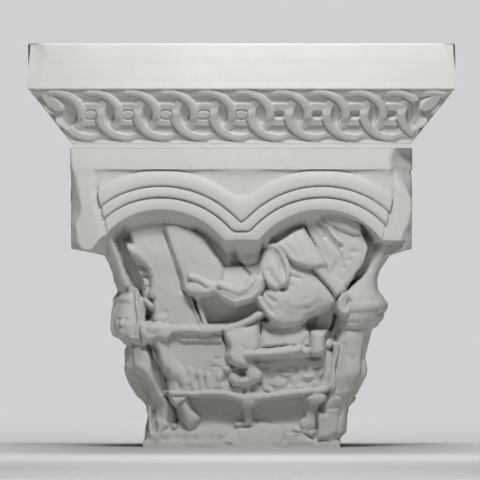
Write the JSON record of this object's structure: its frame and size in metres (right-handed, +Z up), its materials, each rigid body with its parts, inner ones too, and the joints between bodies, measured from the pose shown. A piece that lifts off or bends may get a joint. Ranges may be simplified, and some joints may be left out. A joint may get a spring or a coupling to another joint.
{
  "type": "historiated capital",
  "caption": "Carved limestone capital with a told scene under a double arch on its front, figures at its corners, and an impost block with interlaced rings on its chamfer.",
  "frame": {"origin": "the middle of the capital's underside, where it sits on its shaft", "axes": "+Z up through the shaft's axis; the face with the told scene looks along -Y; +X is to the viewer's right of that face"},
  "size_m": [0.5102, 0.5102, 0.4845],
  "materials": {
    "stone": "matte"
  },
  "bodies": {
    "root": {"capital": "stone", "impost_block": "stone"}
  },
  "joints": []
}
